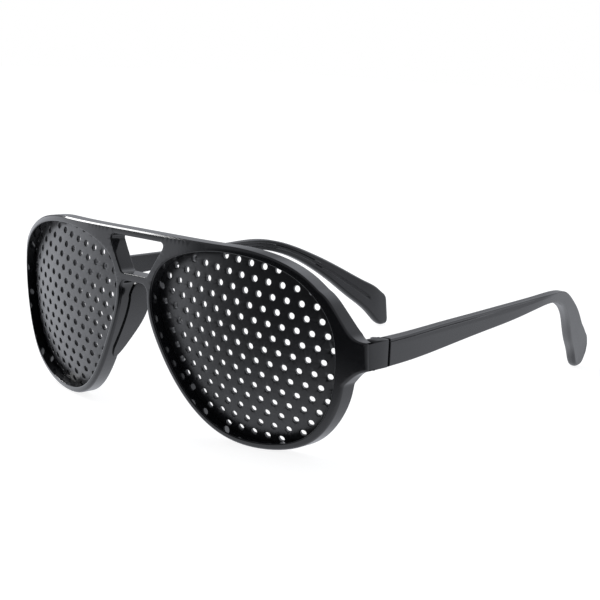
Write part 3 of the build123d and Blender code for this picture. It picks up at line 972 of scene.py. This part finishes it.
# %% [markdown]
# ## Stage and light
#
# The glasses stand on a plain pale floor in a white studio.  Black gloss shows little but
# what it reflects, so the surroundings matter more than the lamp.  They are a dim room,
# bright at the left, at the right, below and high behind, and dark where the picture was
# taken from.  One small lamp draws the bright line along the brow.  To the camera the room
# is white, and the floor nearly so, with the soft shadow on it.

# %% Floor, lamp and surroundings
FLOOR_SIZE = 6.0
FLOOR_GREY = (0.8, 0.8, 0.8, 1)
SHADOW_GREY = (0.30, 0.30, 0.30, 1)
FLOOR_GLOW = 0.88
ROOM_LIGHT = 0.48
ROOM_COLOUR = (0.94, 0.965, 1.03, 1)
# Each side's direction, its reach and its core in degrees, and its light.  A later one
# lies over an earlier one.
ROOM_SIDES = {
    "top": ((0.0, 0.2, 1.0), 68.0, 40.0, 0.35),
    "left": ((-0.966, -0.259, -0.10), 41.0, 15.0, 1.8),
    "right": ((0.66, 0.74, -0.22), 50.0, 22.0, 1.12),
    "dark": ((0.38, -0.92, -0.10), 65.0, 44.0, 0.05),
    "bottom": ((0.0, 0.0, -1.0), 74.0, 40.0, 1.1),
    "back": ((0.0, 0.75, 0.66), 36.0, 8.0, 1.6),
}
LAMP_PLACE = (-0.98, -0.10, 0.77)
LAMP_TARGET = (0, -0.08, 0.05)
LAMP_SIZE = (0.42, 0.30)
LAMP_POWER = 6.0


def seen_directly(tree):
    """1 for rays from the camera, also through a clear material, and 0 for all others."""
    path = tree.nodes.new("ShaderNodeLightPath")
    direct = tree.nodes.new("ShaderNodeMath")
    direct.operation = "MAXIMUM"
    tree.links.new(path.outputs["Is Camera Ray"], direct.inputs[0])
    tree.links.new(path.outputs["Is Transmission Ray"], direct.inputs[1])
    return direct.outputs["Value"]


def mix_when_seen(tree, unseen, seen):
    """One shader for light and reflections, and another one for the camera."""
    mix = tree.nodes.new("ShaderNodeMixShader")
    tree.links.new(seen_directly(tree), mix.inputs["Fac"])
    tree.links.new(unseen, mix.inputs[1])
    tree.links.new(seen, mix.inputs[2])
    return mix.outputs["Shader"]


def make_floor():
    """A plain floor that glows to the camera and lets only the shadow show on it."""
    corner = FLOOR_SIZE / 2 / MM
    points = [(-corner, -corner, 0), (corner, -corner, 0), (corner, corner, 0), (-corner, corner, 0)]
    floor = make_piece("floor", points, [(0, 1, 2, 3)], smooth=False)
    material = bpy.data.materials.new("floor_white")
    material.use_nodes = True
    tree = material.node_tree
    tree.nodes.clear()
    plain = tree.nodes.new("ShaderNodeBsdfDiffuse")
    plain.inputs["Color"].default_value = FLOOR_GREY
    shaded = tree.nodes.new("ShaderNodeBsdfDiffuse")
    shaded.inputs["Color"].default_value = SHADOW_GREY
    glow = tree.nodes.new("ShaderNodeEmission")
    glow.inputs["Strength"].default_value = FLOOR_GLOW
    seen = tree.nodes.new("ShaderNodeAddShader")
    tree.links.new(shaded.outputs["BSDF"], seen.inputs[0])
    tree.links.new(glow.outputs["Emission"], seen.inputs[1])
    output = tree.nodes.new("ShaderNodeOutputMaterial")
    surface = mix_when_seen(tree, plain.outputs["BSDF"], seen.outputs["Shader"])
    tree.links.new(surface, output.inputs["Surface"])
    floor.visible_glossy = False
    dress(floor, material)
    return floor


def make_lamp():
    """A small rectangular lamp, high at the left."""
    light = bpy.data.lights.new("left_lamp", "AREA")
    light.shape = "RECTANGLE"
    light.size, light.size_y = LAMP_SIZE
    light.energy = LAMP_POWER
    lamp = bpy.data.objects.new("left_lamp", light)
    lamp.location = LAMP_PLACE
    toward = Vector(LAMP_TARGET) - Vector(LAMP_PLACE)
    lamp.rotation_euler = toward.to_track_quat("-Z", "Y").to_euler()
    bpy.context.scene.collection.objects.link(lamp)
    return lamp


def side_mask(tree, direction, reach, core):
    """1 within the core angle of a direction, in degrees, and 0 beyond the reach."""
    toward = tree.nodes.new("ShaderNodeVectorMath")
    toward.operation = "DOT_PRODUCT"
    looked_at = tree.nodes.new("ShaderNodeTexCoord").outputs["Generated"]
    tree.links.new(looked_at, toward.inputs[0])
    toward.inputs[1].default_value = Vector(direction).normalized()
    ramp = tree.nodes.new("ShaderNodeMapRange")
    ramp.interpolation_type = "SMOOTHSTEP"
    ramp.inputs["From Min"].default_value = math.cos(math.radians(reach))
    ramp.inputs["From Max"].default_value = math.cos(math.radians(core))
    tree.links.new(toward.outputs["Value"], ramp.inputs["Value"])
    return ramp.outputs["Result"]


def toward_value(tree, start, mask, end):
    """start where the mask is 0 and end where it is 1."""
    mix = tree.nodes.new("ShaderNodeMix")
    tree.links.new(mask, mix.inputs["Factor"])
    if isinstance(start, float):
        mix.inputs["A"].default_value = start
    else:
        tree.links.new(start, mix.inputs["A"])
    mix.inputs["B"].default_value = end
    return mix.outputs["Result"]


def make_world():
    """White to the camera.  For light and reflections it has the sides listed above."""
    world = bpy.data.worlds.new("studio")
    bpy.context.scene.world = world
    world.use_nodes = True
    tree = world.node_tree
    tree.nodes.clear()
    output = tree.nodes.new("ShaderNodeOutputWorld")
    strength = ROOM_LIGHT
    for direction, reach, core, light in ROOM_SIDES.values():
        strength = toward_value(tree, strength, side_mask(tree, direction, reach, core), light)
    room = tree.nodes.new("ShaderNodeBackground")
    room.inputs["Color"].default_value = ROOM_COLOUR
    tree.links.new(strength, room.inputs["Strength"])
    white = tree.nodes.new("ShaderNodeBackground")
    white.inputs["Color"].default_value = (1, 1, 1, 1)
    surface = mix_when_seen(tree, room.outputs["Background"], white.outputs["Background"])
    tree.links.new(surface, output.inputs["Surface"])
    return world


floor = make_floor()
world = make_world()
lamp = make_lamp()
bpy.context.scene.view_settings.view_transform = "Standard"
print("floor", FLOOR_SIZE, "m wide; sides of the room:", ", ".join(ROOM_SIDES))
